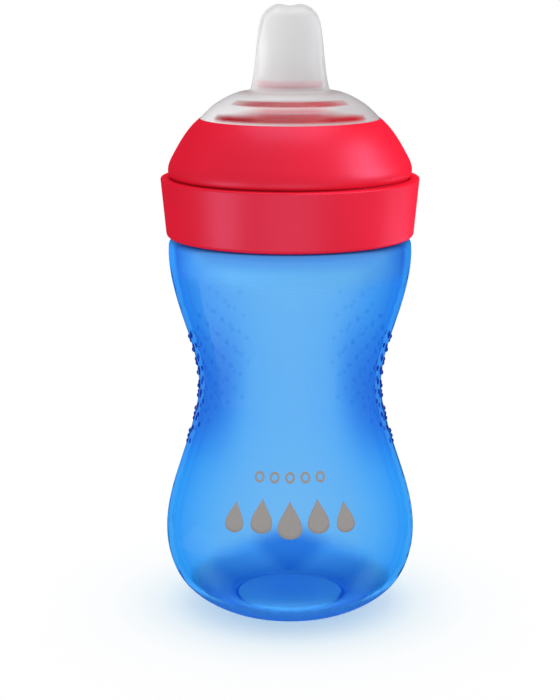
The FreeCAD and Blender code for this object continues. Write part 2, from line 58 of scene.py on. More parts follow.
# ---------------------------------------------------------------- colours, linear
WHITE = (1.0, 1.0, 1.0, 1.0)
RED = (0.71, 0.004, 0.019, 1.0)
RED_DEEP = (0.67, 0.003, 0.016, 1.0)
PINK_SHEEN = (1.0, 0.58, 1.0, 1.0)
RED_SHEEN = 0.052  # share of the surroundings that the red plastic mirrors, in that pink
NAVY = (0.010, 0.050, 0.42, 1.0)
INK = (0.40, 0.375, 0.365, 1.0)
INK_DARK = (0.35, 0.325, 0.315, 1.0)

# ---------------------------------------------------------------- grain
RED_CLOUDS, RED_WEAR, RED_GRAIN = 35.0, 90.0, 2600.0  # noise, in cells a metre: colour, roughness, relief
DOT_WEAR, DOT_GRAIN = 500.0, 4000.0
SILICONE_WEAR = 120.0
INK_SPECKS = 1800.0
PAPER_CLOUDS = 40.0
RED_ROUGH = (0.06, 0.36)  # roughness: what the noise adds, and the least
DOT_ROUGH = (0.1, 0.3)
SILICONE_ROUGH = (0.06, 0.20)
INK_ROUGH = 0.45
RED_RELIEF = (0.05, 0.0002)  # strength and depth
DOT_RELIEF = INK_RELIEF = (0.1, 0.0001)
RED_COLOURS = ((0.35, RED_DEEP), (0.65, RED))
INK_COLOURS = ((0.3, INK_DARK), (0.7, INK))
PAPER_GREYS = ((0.0, 0.92), (1.0, 0.95))

# ---------------------------------------------------------------- the blue plastic; tints above 1 brighten
BLUE_ABSORB = (0.03, 0.63, 0.98, 1.0)
BLUE_DENSITY = 600.0
CAST_DENSITY = 260.0  # the same for shadows, and for light that has met a matt surface
CAST_TINT = (0.95, 0.98, 1.0, 1.0)  # what each surface lets through of the lamps' light
FACE_ON = (0.995, 0.985, 0.976, 1.0)
WALL_TINTS = (  # colour of the wall's faces from the waist up, from face on to edge on; the dip near 0.65 is a painted dark line just inside the edge
    (0.0, FACE_ON),
    (0.18, (0.93, 0.96, 0.985, 1.0)),
    (0.31, (0.76, 0.91, 0.99, 1.0)),
    (0.40, (0.69, 0.89, 0.98, 1.0)),
    (0.58, (0.57, 0.83, 0.96, 1.0)),
    (0.65, (0.52, 0.74, 0.94, 1.0)),
    (0.70, (0.52, 0.86, 1.0, 1.0)),
)
BELLY_TINTS = (  # the same below the waist, with the same painted dark line
    (0.0, FACE_ON),
    (0.18, (0.95, 0.98, 0.985, 1.0)),
    (0.31, (0.86, 0.98, 1.0, 1.0)),
    (0.36, (0.85, 0.96, 1.0, 1.0)),
    (0.58, (0.69, 0.93, 1.0, 1.0)),
    (0.65, (0.58, 0.87, 0.99, 1.0)),
    (0.70, (0.65, 0.97, 1.0, 1.0)),
)
WAIST_UP = (0.035, 0.055)  # heights over which the first table takes over from the second
GRIP_SHADE = (0.70, 0.81, 0.94, 1.0)  # the tint among the dots, at the sides of the waist
GRIP_SIDE = (0.42, 0.90)  # sidewardness over which it comes in: 0 at the front, 1 at the side
GRIP_FOOT, GRIP_TOP = (0.044, 0.060), (0.090, 0.070)  # heights over which it comes in, from either end
BOWL_PAINTED_SHADE = (0.38, 0.66, 0.97, 1.0)  # painted shade of the bowl inside, for the table's shadow under the cup seen through it
BOWL_UPWARD = (0.05, 0.35)  # upward part of the normal over which a face counts as bowl
BOWL_CREST = (0.0150, 0.0080)  # heights over which the bowl's painted shade comes in
CREST_DROP = 0.22  # how much lower that is, per metre to the side of the axis
REAR_PAINTED_SHADE = (0.17, 0.42, 0.82, 1.0)  # painted shade, darker, on the bowl's slope away from the eye
REAR_AWAY = (0.013, 0.023)  # how far behind the axis that comes in, less the distance to the side of it
FRONT_PAINTED_LIGHT = (2.2, 1.55, 1.22, 1.0)  # painted light on its slope near the eye, standing in for the light that slope gathers from the table
FRONT_AWAY = (-0.024, -0.004)  # the same distances over which that gives way to the bowl's painted shade
BOTTOM_PAINTED_LIGHT = (1.0, 1.07, 1.06, 1.0)  # painted light, slight, on its level bottom
BOTTOM_RADII = (0.0195, 0.0165)  # over which that comes in
UNDERSIDE_PAINTED_LIGHT = (1.7, 1.5, 1.35, 1.0)  # painted light on the low outside of the bottle, standing in for the light it gathers as well
UNDERSIDE = (0.013, 0.008)  # heights over which that comes in
SHOULDER = (0.1000, 0.1050)  # heights over which the bottle turns cloudy
SHOULDER_HIDES = 0.9  # share of the plastic that the cloudiness hides
SHOULDER_TINTS = (  # colour of the cloudy shoulder, from face on to edge on; the lighter last stop is a painted bright rim
    (0.15, (0.15, 0.51, 1.0, 1.0)),
    (0.50, (0.05, 0.29, 0.90, 1.0)),
    (0.64, (0.03, 0.19, 0.80, 1.0)),
    (0.72, (0.04, 0.33, 1.0, 1.0)),
)
UNDER_RING = (0.1055, 0.110)  # heights over which the shoulder passes under the ring
RING_PAINTED_LIGHT = (0.12, 0.47, 1.0, 1.0)  # painted light: colour of the cloudiness there, kept light against the ring's shadow
RING_GLOW = (0.085, 0.30, 0.80, 1.0)  # light given off there, for what real plastic carries in from outside
RING_GLOWS = 0.75  # share of the surface under the ring that gives it off
RING_FACING = (0.45, 0.25)  # all three only where the wall faces the eye
BASE_ROUGH = (0.010, 0.004)  # heights over which the foot turns frosted
CLEAR_ROUGH, FROST_ROUGH = 0.05, 0.50  # roughness of the clear plastic, and what frost adds to it
PLASTIC_IOR = 1.49
TRAPPED = 0.98  # mirrored share above which light inside the wall counts as trapped in it
SHEEN, BELLY_SHEEN = 0.05, 0.02  # most that the outside mirrors, above the waist and below it
SHEEN_WAIST = (0.072, 0.088)  # heights between which the one gives way to the other
SHEEN_SIDE = (0.30, 0.85)  # share of the way to the side at which the sheen starts, and is full
DOT_TINTS = (  # what a dot lets through, from a wall seen edge on to one seen face on
    (0.15, (0.10, 0.30, 0.85, 1.0)),
    (0.40, (0.87, 0.94, 0.99, 1.0)),
    (1.0, (0.96, 0.98, 1.0, 1.0)),
)
DOT_SOLIDITY = ((0.1, 0.75), (0.4, 0.02))  # how solid a dot looks there

# ---------------------------------------------------------------- light: strength of the white surroundings
SEEN = 1.0  # straight from the camera
SEEN_THROUGH = 1.02  # through the see-through plastic
LIGHTING = 0.82  # as light on the cup and the floor
MIRRORED = 0.08  # as a reflection
FLOOR_GLOWS = (  # painted light: (radius, share of the floor's white that no shadow takes away), from the foot outwards; nearly all of it under the foot
    (0.010, 0.95),
    (0.0185, 0.28),
    (0.027, 0.38),
    (0.038, 0.58),
    (0.055, 0.84),
)
FLOOR_PAINTED_SHADOW, FLOOR_TINTED = (0.64, 0.88, 0.97, 1.0), (0.075, 0.025)  # painted shadow: cyan tint of the table near the cup, for the bottle's blue shadow, with its radii
FOOT_PAINTED_GLOW, FOOT_EDGE = (0.55, 0.78, 1.0, 1.0), (0.0195, 0.017)  # painted light: blue glow of the table under the foot, with its radii
FLOOR_GAP = 0.0001  # keeps the floor clear of the foot's face
FLOOR_CLEAR, FLOOR_FADED = 0.10, 0.30  # radii between which the floor fades into the white surroundings

# ---------------------------------------------------------------- soft spout sizes, millimetres
SEGMENTS = 144  # round the spout
SPOUT_TOP_Z = 178.0
SPOUT_SKIN = (  # (height, half width, half depth) of the outside, from the edge of the skirt to the tip
    (145.16, 25.83, 25.83),
    (145.85, 25.83, 25.83),
    (146.1, 25.65, 25.65),
    (147.5, 24.3, 24.3),
    (149.5, 22.1, 22.1),
    (151.05, 19.7, 19.7),
    (152.35, 17.2, 17.2),
    (153.2, 14.9, 14.6),
    (153.55, 13.2, 12.4),
    (153.75, 12.2, 10.9),
    (154.1, 11.5, 9.7),
    (155.0, 11.1, 8.9),
    (158.0, 10.5, 7.9),
    (162.0, 10.0, 7.0),
    (168.0, 9.4, 6.05),
    (172.2, 8.8, 5.25),
    (174.6, 8.05, 4.6),
    (176.3, 6.9, 3.7),
    (177.4, 5.4, 2.6),
    (177.95, 3.9, 1.5),
    (178.05, 3.0, 0.85),
)
MILK = (  # (height, share of milky surface) up the outside of the spout
    (145.9, 1.0),
    (146.5, 0.35),
    (146.9, 0.02),
    (148.4, 0.05),
    (149.5, 0.34),
    (150.1, 0.50),
    (150.35, 0.75),
    (150.55, 0.40),
    (150.75, 0.06),
    (151.75, 0.06),
    (152.0, 0.60),
    (152.8, 0.85),
    (153.4, 0.80),
    (153.65, 0.82),
    (154.6, 0.65),
    (155.4, 0.45),
    (157.2, 0.62),
    (178.0, 0.66),
)
SKIRT_TINT = (0.68, 0.76, 0.94, 1.0)  # of the clear part of the silicone
TOWER_TINT = (0.93, 0.94, 0.95, 1.0)
SKIRT_MILK = (0.62, 0.64, 0.65, 1.0)  # of its milky part
TOWER_MILK = (0.80, 0.80, 0.80, 1.0)
# painted light: the red lid's pink glow in the spout's foot
PAINTED_RED_GLOW = (0.80, 0.40, 0.44, 1.0)
GLOW_LOW, GLOW_HIGH = (154.6, 155.3), (157.4, 156.2)  # heights between which the red lid's painted glow shows
GLOW_FACING = (0.6, 0.2)  # and only where the wall faces the eye
TOWER_Z = (152.5, 153.5)  # heights over which the skirt gives way to the tower
SILICONE_IOR = 1.41
THROUGH_MILK = (0.62, 0.62, 0.63, 1.0)  # light that comes through the milky part
SKIRT_THROUGH, TOWER_THROUGH = 0.12, 0.28  # share of it in the skirt, and how much more in the tower
SILICONE_CAST = (0.86, 0.87, 0.88, 1.0)  # what each surface lets through of the lamps' light
FLANK_SHARE = 0.92  # how milky the skirt is at its flanks, in a lower band and an upper one
FLANK_LOW_Z = (147.3, 148.8)  # heights over which the lower band comes in
FLANK_MID_Z = (150.0, 150.6)  # over which the upper one takes over
FLANK_TOP_Z = (153.0, 151.8)  # over which that comes in from above
FLANK_LOW_SIDE = (0.25, 0.85)  # share of the way to the side over which the lower band comes in
FLANK_HIGH_SIDE = (0.80, 0.92)  # the same for the upper band
FLANK_END_SIDE = (0.84, 0.93)  # and for the skirt's ends, milky from the lower band down
SLANT_FACING, SLANT_SHARE = (0.45, 0.70), 0.65  # the milkiness added where a face turns edge on
SPOUT_SLOT = (2.6, 0.45)  # half length and half width of the drinking slot
SLOT_HEIGHTS = (177.9, 176.8, 175.9)  # rows of its wall, downwards
SLOT_SQUARENESS = 4.0
HUMP_X, DIP = 2.9, 0.45  # the dip between the top's two humps: half its width, and its depth
DIP_FOOT = 172.0  # height from which the dip fades in, up to the spout's top
SKIN_STEPS = 6  # rows of the drawn outside for each row of the table
LONGEST_STEP = 1.0  # between rows of the drawn inside
SHARP_ANGLE = 50  # degrees above which an edge stays crisp
SPOUT_HOLLOW = (  # (height, half width, half depth) of the inside, from the hub's foot to the slot
    (142.0, 15.3, 15.3),
    (142.0, 13.5, 13.5),
    (149.3, 13.5, 13.5),
    (151.0, 11.6, 11.0),
    (152.6, 10.1, 8.9),
    (154.3, 9.5, 7.6),
    (158.0, 8.8, 6.2),
    (162.0, 8.3, 5.3),
    (168.0, 7.7, 4.35),
    (172.0, 7.0, 3.5),
    (174.6, 5.6, 2.3),
    (175.8, 3.6, 1.1),
)
SPOUT_UNDERSIDE = (  # (radius, height) of the steps pressed on the lid, from the hub to the skirt's edge
    (15.3, 142.0),
    (16.9, 143.2),
    (16.9, 144.9),
    (15.84, 144.95),
    (15.84, 151.56),
    (17.16, 151.56),
    (17.16, 149.26),
    (21.86, 148.76),
    (21.86, 145.16),
    (25.83, 145.16),
)
VENT_Y = 18.75  # the air inlet, behind the spout
AIR_WAY = ((1.65, 148.0), (1.65, 150.1), (0.45, 150.12), (0.45, 155.0))  # room for its flange, and a pinhole

# ---------------------------------------------------------------- other soft parts, millimetres
GASKET = (  # (radius, height) round the washer
    (29.4, 123.75),
    (29.6, 123.58),
    (30.2, 123.6),
    (30.7, 123.56),
    (31.3, 123.62),
    (31.6, 123.9),
    (31.6, 124.6),
    (31.3, 124.88),
    (30.7, 124.94),
    (30.2, 124.9),
    (29.6, 124.92),
    (29.4, 124.75),
)
DISC = (  # (radius, height) round half the sip valve
    (1.9, 140.5),
    (4.2, 140.5),
    (4.6, 140.7),
    (8.4, 140.7),
    (8.8, 140.48),
    (10.2, 140.48),
    (10.55, 140.8),
    (10.5, 141.3),
    (10.1, 141.52),
    (6.5, 141.3),
    (3.6, 141.5),
    (3.1, 141.9),
    (2.9, 142.4),
    (1.9, 142.42),
)
DUCKBILL = (  # (height, half width, half depth), down the outside and up the inside
    (149.35, 0.5, 0.5),
    (149.35, 1.3, 1.3),
    (149.2, 1.43, 1.43),
    (148.75, 1.43, 1.43),
    (148.66, 1.3, 1.3),
    (148.64, 0.95, 0.95),
    (146.0, 0.95, 0.95),
    (145.0, 0.97, 0.7),
    (143.45, 1.0, 0.25),
    (143.5, 0.8, 0.08),
    (145.2, 0.5, 0.35),
    (146.2, 0.5, 0.5),
)

# ---------------------------------------------------------------- printed motif, millimetres
PRINT_RADIUS = 35.5  # of the wall, for distances round it
INK_PROUD, INK_FOOT = 0.05, 0.015  # how far the print's top and its foot stand out from the wall
PATCH_STEPS = 4  # from the innermost ring of a print's mesh to its outline
PATCH_CORE = 0.06  # the innermost ring, as a share of the outline, where the print has no hole
PER_SIDE = 2  # bubbles and drops on each side of the middle one
BUBBLE_SIZE, BUBBLE_PITCH, BUBBLE_Z = 1.6, 4.9, 47.5
BUBBLE_HOLE = 0.55  # share of a bubble that stays open
DROP_SIZE, DROP_PITCH, DROP_Z = 5.3, 8.2, 36.1
DROP_SHRINK, DROP_STAGGER = 0.45, 0.9  # smaller away from the middle, and every other one higher
DROP_TAPER, DROP_WIDTH = 1.6, 0.95  # how slowly a drop widens from its point, and its width for its height
RAY_START = 0.1  # metres from the axis, outside the bottle

# ---------------------------------------------------------------- lamps and light paths, metres and watts
OVERHEAD = ((0.0, 0.1, 1.1), (0, 0, 0.1), (0.9, 0.9), 5.0)  # place, target, size, power
RIGHT = ((0.66, -0.07, 0.43), (0, 0, 0.13), (0.45, 0.5), 3.1)
LEFT = ((-0.70, -0.12, 0.05), (0, 0, 0.16), (0.5, 0.35), 6.0)
LOW_LEFT = ((-0.29, -0.165), (0.42, 0.37), 0.35)  # middle, size, power of a reflector low over the table
LOW_RIGHT = ((0.33, 0.20), (0.35, 0.35), 1.0)
LOW_FRONT = ((0.0, -0.36), (0.30, 0.30), 0.38)
LOW_FRONT_LEFT = ((-0.35, -0.22), (0.16, 0.25), 0.75)
CARD_HEIGHT = 0.002
FLOOR_HALF = 3.0
BOUNCES, SEE_THROUGH_BOUNCES = 24, 16
BRIGHTEST_BOUNCE = 6.0


# ---------------------------------------------------------------- node helpers
class Nodes:
    """A short way to write a node tree."""

    def __init__(self, tree):
        self.tree = tree
        self.tree.nodes.clear()

    def add(self, kind, links=None, **settings):
        """Adds a node: settings are its properties, links maps an input to a value or a node's output."""
        node = self.tree.nodes.new(kind)
        for key, value in settings.items():
            setattr(node, key, value)
        for key, value in (links or {}).items():
            self.put(node.inputs[key], value)
        return node

    def put(self, socket, value):
        """Gives an input a value, or links it to another node's output."""
        if isinstance(value, bpy.types.NodeSocket):
            self.tree.links.new(value, socket)
        else:
            socket.default_value = value

    def math(self, operation, a, b=0.0, clamp=False):
        node = self.add("ShaderNodeMath", operation=operation, use_clamp=clamp)
        self.put(node.inputs[0], a)
        self.put(node.inputs[1], b)
        return node.outputs[0]

    def product(self, first, *others):
        for other in others:
            first = self.math("MULTIPLY", first, other)
        return first

    def line(self, value, slope, start):
        """start plus slope times the value."""
        return self.math("ADD", self.math("MULTIPLY", value, slope), start)

    def vector(self, operation, first, second=None, result="Vector"):
        links = {0: first} if second is None else {0: first, 1: second}
        return self.add("ShaderNodeVectorMath", links, operation=operation).outputs[result]

    def place(self):
        return self.add("ShaderNodeTexCoord").outputs["Object"]

    def facing(self):
        """0 where a face looks straight at the eye, towards 1 where it turns edge on."""
        return self.add("ShaderNodeLayerWeight", {"Blend": 0.5}).outputs["Facing"]

    def ramp(self, factor, stops):
        node = self.add("ShaderNodeValToRGB", {"Fac": factor})
        elements = node.color_ramp.elements
        while len(elements) < len(stops):
            elements.new(0.5)
        for element, (place, colour) in zip(elements, stops):
            element.position = place
            element.color = colour
        return node.outputs["Color"]

    def grey_ramp(self, factor, stops):
        """A ramp through plain numbers."""
        return self.ramp(factor, [(place, (share, share, share, 1.0)) for place, share in stops])

    def noise(self, scale, detail=3.0, rough=0.5):
        links = {"Vector": self.place(), "Scale": scale, "Detail": detail, "Roughness": rough}
        return self.add("ShaderNodeTexNoise", links).outputs["Fac"]

    def bump(self, height, strength, distance):
        """A normal tilted by a height between 0 and 1, which stands for that distance in metres."""
        links = {"Height": height, "Strength": strength, "Distance": distance}
        return self.add("ShaderNodeBump", links).outputs["Normal"]

    def fade(self, value, start, end):
        """0 before start and 1 past end, smooth between them; start may be the larger."""
        links = {"Value": value, "From Min": start, "From Max": end}
        return self.add("ShaderNodeMapRange", links, interpolation_type="SMOOTHSTEP").outputs["Result"]

    def from_axis(self, x, y):
        """How far a place is from the cup's axis, by its x and y."""
        return self.math("SQRT", self.math("ADD", self.product(x, x), self.product(y, y)))

    def from_eye(self):
        """How far a place lies behind the cup's axis, and to the side of it, as the eye sees it."""
        eye = self.add("ShaderNodeNewGeometry").outputs["Incoming"]
        level_place = self.vector("MULTIPLY", self.place(), LEVEL)
        view = self.vector("NORMALIZE", self.vector("MULTIPLY", eye, LEVEL))
        towards = self.vector("DOT_PRODUCT", level_place, view, "Value")
        across = self.vector("LENGTH", self.vector("CROSS_PRODUCT", level_place, view), result="Value")
        return self.math("SUBTRACT", 0.0, towards), across

    def mix_colour(self, factor, first, second):
        node = self.add("ShaderNodeMix", data_type="RGBA")
        self.put(node.inputs[0], factor)
        self.put(node.inputs[6], first)
        self.put(node.inputs[7], second)
        return node.outputs[2]

    def mix_shader(self, factor, first, second):
        node = self.add("ShaderNodeMixShader")
        self.put(node.inputs[0], factor)
        self.put(node.inputs[1], first)
        self.put(node.inputs[2], second)
        return node.outputs[0]

    def unshadowed(self, surface, tint):
        """Lets the lamps' light through a see-through surface, tinted, instead of casting a hard shadow."""
        clear = self.add("ShaderNodeBsdfTransparent", {"Color": tint})
        is_shadow = self.add("ShaderNodeLightPath").outputs["Is Shadow Ray"]
        return self.mix_shader(is_shadow, surface, clear.outputs[0])

    def output(self, surface, **others):
        self.add("ShaderNodeOutputMaterial", {"Surface": surface, **others})


def material(name):
    made = bpy.data.materials.new(name)
    made.use_nodes = True
    return made, Nodes(made.node_tree)


def dress(name, made):
    """Gives a CAD node one material in place of its own."""
    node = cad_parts[name]
    node.data.materials.clear()
    node.data.materials.append(made)
    for face in node.data.polygons:
        face.material_index = 0


# ---------------------------------------------------------------- the red parts and the bottle
def red_plastic():
    """Satin moulded plastic: a fine grain, a little cloudiness in the colour, and an even soft sheen."""
    made, n = material("red_plastic")
    colour = n.ramp(n.noise(RED_CLOUDS, detail=2.0), RED_COLOURS)
    rough = n.line(n.noise(RED_WEAR), *RED_ROUGH)
    grain = n.bump(n.noise(RED_GRAIN, detail=2.0), *RED_RELIEF)
    body = n.add("ShaderNodeBsdfDiffuse", {"Color": colour, "Normal": grain})
    sheen = n.add("ShaderNodeBsdfGlossy", {"Color": PINK_SHEEN, "Roughness": rough, "Normal": grain})
    n.output(n.mix_shader(RED_SHEEN, body.outputs[0], sheen.outputs[0]))
    return made


class BottlePlace:
    """Where a ray meets the bottle: values in its node tree."""

    def __init__(self, n):
        x, y, self.z = n.add("ShaderNodeSeparateXYZ", {0: n.place()}).outputs
        geometry = n.add("ShaderNodeNewGeometry").outputs
        normal = n.add("ShaderNodeSeparateXYZ", {0: geometry["Normal"]})
        self.radius = n.from_axis(x, y)
        self.side = n.math("DIVIDE", n.math("ABSOLUTE", x), self.radius)
        self.behind, self.across = n.from_eye()
        self.facing = n.facing()
        self.within = geometry["Backfacing"]  # 1 for a ray that travels in the plastic, and 0 in the air
        self.in_air = n.math("SUBTRACT", 1.0, self.within)
        self.upward = n.fade(normal.outputs["Z"], *BOWL_UPWARD)


def wall_tint(n, at):
    """The wall's tint by the way it faces the eye, and darker among the grip dots."""
    below, above = n.ramp(at.facing, BELLY_TINTS), n.ramp(at.facing, WALL_TINTS)
    tint = n.mix_colour(n.fade(at.z, *WAIST_UP), below, above)
    waist = n.product(n.fade(at.z, *GRIP_FOOT), n.fade(at.z, *GRIP_TOP))
    return n.mix_colour(n.product(n.fade(at.side, *GRIP_SIDE), waist), tint, GRIP_SHADE)


def base_tint_with_painted_light_and_shade(n, at, tint):
    """That tint with painted shade and light in the bowl inside, and painted light on the low outside, put
    over it.
    """
    crest = n.math("ADD", at.z, n.product(at.across, CREST_DROP))
    bowl = n.product(at.upward, n.fade(crest, *BOWL_CREST), at.in_air)
    away = n.math("SUBTRACT", at.behind, at.across)
    # painted shade and light in the bowl, darker away from the eye and lighter near it
    shade = n.mix_colour(n.fade(away, *FRONT_AWAY), FRONT_PAINTED_LIGHT, BOWL_PAINTED_SHADE)
    shade = n.mix_colour(n.fade(away, *REAR_AWAY), shade, REAR_PAINTED_SHADE)
    shade = n.mix_colour(n.fade(at.radius, *BOTTOM_RADII), shade, BOTTOM_PAINTED_LIGHT)
    # painted light on the low outside of the bottle
    low = n.math("SUBTRACT", n.fade(at.z, *UNDERSIDE), at.upward, clamp=True)
    return n.mix_colour(n.product(low, at.in_air), n.mix_colour(bowl, tint, shade), UNDERSIDE_PAINTED_LIGHT)


def clear_plastic(n, at):
    """Refracting plastic, with a weak sheen at its sides; light trapped in the wall is mirrored in full."""
    tint = base_tint_with_painted_light_and_shade(n, at, wall_tint(n, at))
    rough = n.line(n.fade(at.z, *BASE_ROUGH), FROST_ROUGH, CLEAR_ROUGH)
    through = n.add("ShaderNodeBsdfRefraction", {"Color": tint, "Roughness": rough, "IOR": PLASTIC_IOR})
    sheen = n.add("ShaderNodeBsdfGlossy", {"Color": WHITE, "Roughness": rough})
    mirror = n.add("ShaderNodeFresnel", {"IOR": PLASTIC_IOR}).outputs[0]
    trapped = n.product(n.math("GREATER_THAN", mirror, TRAPPED), at.within)
    most = n.line(n.fade(at.z, *SHEEN_WAIST), SHEEN - BELLY_SHEEN, BELLY_SHEEN)
    most = n.product(most, n.fade(n.math("DIVIDE", at.across, at.radius), *SHEEN_SIDE))
    share = n.math("MAXIMUM", trapped, n.math("MINIMUM", mirror, most))
    return n.mix_shader(share, through.outputs[0], sheen.outputs[0])


def cloudy_shoulder(n, at):
    """Matt haze, with painted light where the ring hangs over it: a lifted colour and a little light of its
    own.
    """
    under_ring = n.product(n.fade(at.z, *UNDER_RING), n.fade(at.facing, *RING_FACING))
    cloud_with_painted_light = n.mix_colour(under_ring, n.ramp(at.facing, SHOULDER_TINTS), RING_PAINTED_LIGHT)
    matt = n.add("ShaderNodeBsdfDiffuse", {"Color": cloud_with_painted_light})
    glow = n.add("ShaderNodeEmission", {"Color": RING_GLOW, "Strength": 1.0})
    return n.mix_shader(n.product(under_ring, RING_GLOWS), matt.outputs[0], glow.outputs[0])


def blue_plastic():
    """See-through tinted plastic, frosted at its foot and cloudy at the shoulder."""
    made, n = material("blue_plastic")
    at = BottlePlace(n)
    hidden = n.product(n.fade(at.z, *SHOULDER), at.in_air, SHOULDER_HIDES)
    surface = n.mix_shader(hidden, clear_plastic(n, at), cloudy_shoulder(n, at))
    path = n.add("ShaderNodeLightPath").outputs
    cast = n.math("MINIMUM", n.math("ADD", path["Is Shadow Ray"], path["Diffuse Depth"]), 1.0)
    density = n.line(cast, CAST_DENSITY - BLUE_DENSITY, BLUE_DENSITY)
    absorb = n.add("ShaderNodeVolumeAbsorption", {"Color": BLUE_ABSORB, "Density": density})
    n.output(n.unshadowed(surface, CAST_TINT), Volume=absorb.outputs[0])
    return made


# ---------------------------------------------------------------- the other materials
def grip_rubber():
    """Tinted see-through dots: faint where the wall faces the eye, navy where it turns away."""
    made, n = material("grip_rubber")
    outward = n.vector("NORMALIZE", n.vector("MULTIPLY", n.place(), LEVEL))
    eye = n.add("ShaderNodeNewGeometry").outputs["Incoming"]
    towards = n.math("ABSOLUTE", n.vector("DOT_PRODUCT", outward, eye, "Value"))
    clear = n.add("ShaderNodeBsdfTransparent", {"Color": n.ramp(towards, DOT_TINTS)})
    rough = n.line(n.noise(DOT_WEAR), *DOT_ROUGH)
    grain = n.bump(n.noise(DOT_GRAIN), *DOT_RELIEF)
    solid = n.add("ShaderNodeBsdfPrincipled", {"Base Color": NAVY, "Roughness": rough, "Normal": grain})
    n.output(n.mix_shader(n.grey_ramp(towards, DOT_SOLIDITY), clear.outputs[0], solid.outputs[0]))
    return made


def milkiness(n, z, facing, side):
    """Share of milky surface: by height, and more at the skirt's flanks and where a face turns edge on."""
    low_band = n.product(n.fade(z, *FLANK_LOW_Z), n.fade(side, *FLANK_LOW_SIDE))
    low = n.math("MAXIMUM", low_band, n.fade(side, *FLANK_END_SIDE))
    low = n.product(low, n.fade(z, *FLANK_MID_Z[::-1]), FLANK_SHARE)
    high = n.product(n.fade(z, *FLANK_MID_Z), n.fade(z, *FLANK_TOP_Z))
    high = n.product(high, n.fade(side, *FLANK_HIGH_SIDE), FLANK_SHARE)
    slant = n.product(n.fade(facing, *SLANT_FACING), SLANT_SHARE)
    extra = n.math("ADD", slant, n.math("ADD", low, high))
    bottom, top = MILK[0][0], MILK[-1][0]
    up = n.add("ShaderNodeMapRange", {"Value": z, "From Min": bottom, "From Max": top}).outputs["Result"]
    by_height = n.grey_ramp(up, [((height - bottom) / (top - bottom), share) for height, share in MILK])
    outer = n.math("SUBTRACT", 1.0, n.add("ShaderNodeNewGeometry").outputs["Backfacing"])
    return n.product(n.math("ADD", by_height, extra, clamp=True), outer)


def silicone():
    """Frosted silicone: milky where it is thick, clear over the lid's steps, with a painted pink glow of the
    red lid at the spout's foot.
    """
    made, n = material("silicone")
    x, y, height = n.add("ShaderNodeSeparateXYZ", {0: n.place()}).outputs
    z = n.math("DIVIDE", height, MM)
    side = n.math("DIVIDE", n.from_eye()[1], n.from_axis(x, y))
    facing = n.facing()
    tower = n.fade(z, *TOWER_Z)
    common = {"Roughness": n.line(n.noise(SILICONE_WEAR), *SILICONE_ROUGH), "IOR": SILICONE_IOR}
    clear_links = {"Base Color": n.mix_colour(tower, SKIRT_TINT, TOWER_TINT), "Transmission Weight": 1.0}
    clear = n.add("ShaderNodeBsdfPrincipled", {**clear_links, **common})
    # painted pink glow of the red lid at the spout's foot
    glow = n.product(n.fade(z, *GLOW_LOW), n.fade(z, *GLOW_HIGH), n.fade(facing, *GLOW_FACING))
    white = n.mix_colour(glow, n.mix_colour(tower, SKIRT_MILK, TOWER_MILK), PAINTED_RED_GLOW)
    milk = n.add("ShaderNodeBsdfPrincipled", {"Base Color": white, **common})
    through = n.add("ShaderNodeBsdfTranslucent", {"Color": THROUGH_MILK})
    body = n.mix_shader(n.line(tower, TOWER_THROUGH, SKIRT_THROUGH), milk.outputs[0], through.outputs[0])
    surface = n.mix_shader(milkiness(n, z, facing, side), clear.outputs[0], body)
    n.output(n.unshadowed(surface, SILICONE_CAST))
    return made


def print_ink():
    """Warm grey pad print, slightly uneven like real ink."""
    made, n = material("print_ink")
    speck = n.noise(INK_SPECKS, detail=4.0, rough=0.7)
    relief = n.bump(speck, *INK_RELIEF)
    links = {"Base Color": n.ramp(speck, INK_COLOURS), "Roughness": INK_ROUGH, "Normal": relief}
    n.output(n.add("ShaderNodeBsdfPrincipled", links).outputs[0])
    return made


def surround_strength(n):
    """How bright the white surroundings are to a ray, by the kind of ray."""
    path = n.add("ShaderNodeLightPath").outputs
    seen = n.product(path["Is Camera Ray"], SEEN)
    through = n.product(path["Is Transmission Ray"], SEEN_THROUGH)
    lighting = n.math("SUBTRACT", LIGHTING, n.product(path["Is Glossy Ray"], LIGHTING - MIRRORED))
    return n.math("MAXIMUM", n.math("MAXIMUM", seen, through), lighting)


def table_white():
    """White table with the faint mottling of paper, a painted cyan shadow near the cup and painted light
    under the foot, fading into the surroundings.
    """
    made, n = material("table_white")
    radius = n.vector("LENGTH", n.place(), result="Value")
    paper = n.grey_ramp(n.noise(PAPER_CLOUDS), PAPER_GREYS)
    # painted shadow: the table turns cyan near the cup
    paper = n.mix_colour(n.fade(radius, *FLOOR_TINTED), paper, FLOOR_PAINTED_SHADOW)
    near = n.add("ShaderNodeBsdfDiffuse", {"Color": paper})
    # painted light: the glow turns blue under the foot
    glow_tint = n.mix_colour(n.fade(radius, *FOOT_EDGE), WHITE, FOOT_PAINTED_GLOW)
    white = n.add("ShaderNodeEmission", {"Color": glow_tint, "Strength": surround_strength(n)})
    # painted light: the share of glow by radius, which sets how deep the shadow looks
    widest = FLOOR_GLOWS[-1][0]
    stops = [(distance / widest, share) for distance, share in FLOOR_GLOWS]
    glow = n.grey_ramp(n.math("DIVIDE", radius, widest), stops)
    share = n.math("MAXIMUM", n.fade(radius, FLOOR_CLEAR, FLOOR_FADED), glow)
    n.output(n.mix_shader(share, near.outputs[0], white.outputs[0]))
    return made


# ---------------------------------------------------------------- mesh helpers
def link(name, mesh, made, body, slot_name=None, *replaced):
    """Puts a mesh in the scene as a smooth-shaded piece that rides on a body."""
    piece = bpy.data.objects.new(name, mesh)
    bpy.context.scene.collection.objects.link(piece)
    mesh.materials.append(made)
    for face in mesh.polygons:
        face.use_smooth = True
    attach(piece, body)
    if replaced:
        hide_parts(*replaced)
    return piece


